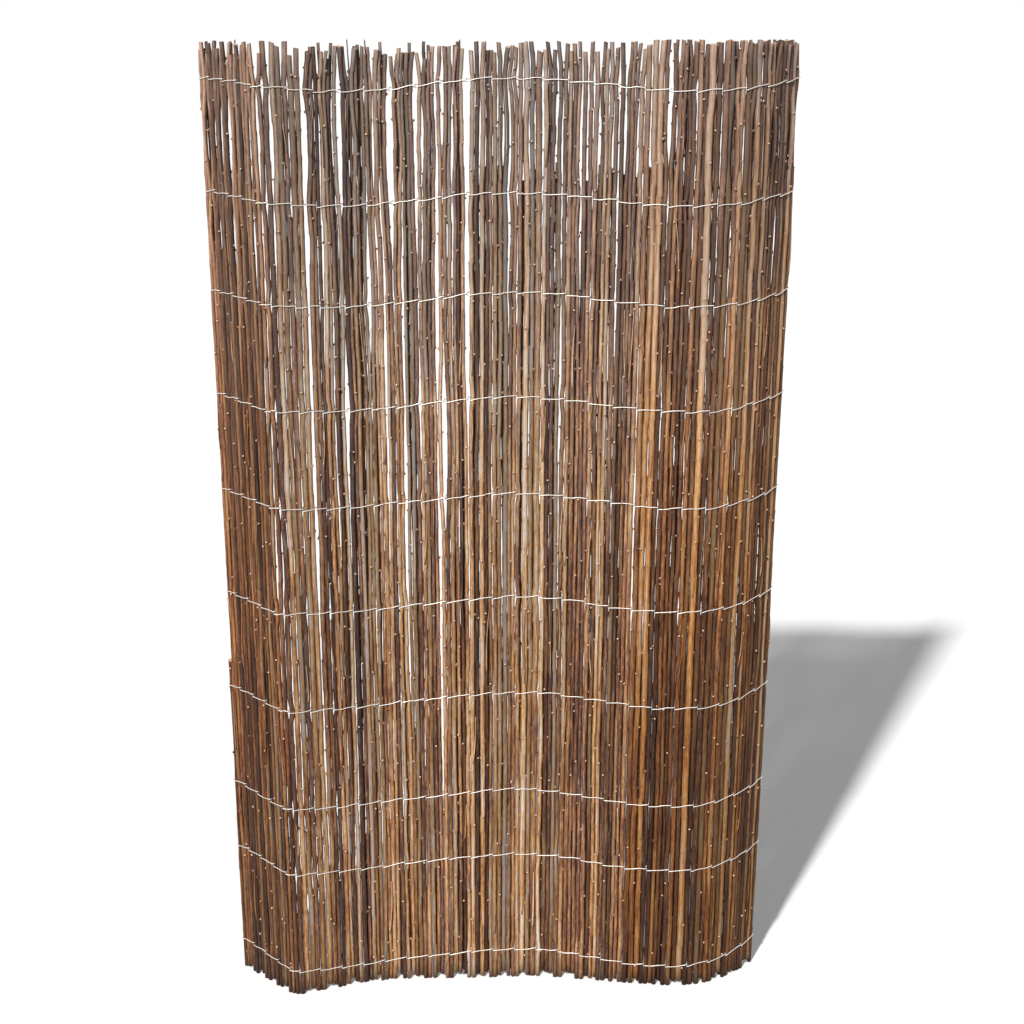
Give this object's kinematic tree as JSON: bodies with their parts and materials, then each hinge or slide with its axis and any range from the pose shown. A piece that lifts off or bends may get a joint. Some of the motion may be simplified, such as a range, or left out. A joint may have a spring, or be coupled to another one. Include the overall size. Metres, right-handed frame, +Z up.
{
  "type": "willow fence",
  "caption": "Free-standing length of willow fence: upright willow rods bound into a mat by rows of twisted wire, standing on its cut ends in a shallow wave.",
  "frame": {"origin": "middle of the fence's footprint on the ground", "axes": "+Z up, +X to the right along the mat, +Y towards the back, away from the viewer"},
  "size_m": [0.9805, 0.1222, 1.7],
  "materials": {
    "willow_red_brown": "unpeeled bark, matte",
    "willow_ochre": "unpeeled bark, matte",
    "willow_umber": "unpeeled bark, matte",
    "galvanised_wire": "dull zinc"
  },
  "bodies": {
    "root": {"binding_wire_01_back": "galvanised_wire", "binding_wire_01_front": "galvanised_wire", "binding_wire_02_back": "galvanised_wire", "binding_wire_02_front": "galvanised_wire", "binding_wire_03_back": "galvanised_wire", "binding_wire_03_front": "galvanised_wire", "binding_wire_04_back": "galvanised_wire", "binding_wire_04_front": "galvanised_wire", "binding_wire_05_back": "galvanised_wire", "binding_wire_05_front": "galvanised_wire", "binding_wire_06_back": "galvanised_wire", "binding_wire_06_front": "galvanised_wire", "binding_wire_07_back": "galvanised_wire", "binding_wire_07_front": "galvanised_wire", "binding_wire_08_back": "galvanised_wire", "binding_wire_08_front": "galvanised_wire", "binding_wire_09_back": "galvanised_wire", "binding_wire_09_front": "galvanised_wire", "binding_wire_10_back": "galvanised_wire", "binding_wire_10_front": "galvanised_wire", "rod_bundle_01": "willow_red_brown", "rod_bundle_02": "willow_red_brown", "rod_bundle_03": "willow_red_brown", "rod_bundle_04": "willow_red_brown", "rod_bundle_05": "willow_red_brown", "rod_bundle_06": "willow_ochre", "rod_bundle_07": "willow_ochre", "rod_bundle_08": "willow_ochre", "rod_bundle_09": "willow_ochre", "rod_bundle_10": "willow_ochre", "rod_bundle_11": "willow_ochre", "rod_bundle_12": "willow_ochre", "rod_bundle_13": "willow_ochre", "rod_bundle_14": "willow_ochre", "rod_bundle_15": "willow_ochre", "rod_bundle_16": "willow_ochre", "rod_bundle_17": "willow_ochre", "rod_bundle_18": "willow_ochre", "rod_bundle_19": "willow_ochre", "rod_bundle_20": "willow_ochre", "rod_bundle_21": "willow_umber", "rod_bundle_22": "willow_umber", "rod_bundle_23": "willow_umber", "rod_bundle_24": "willow_umber", "rod_bundle_25": "willow_umber", "rod_bundle_26": "willow_umber", "rod_bundle_27": "willow_umber"}
  },
  "joints": []
}
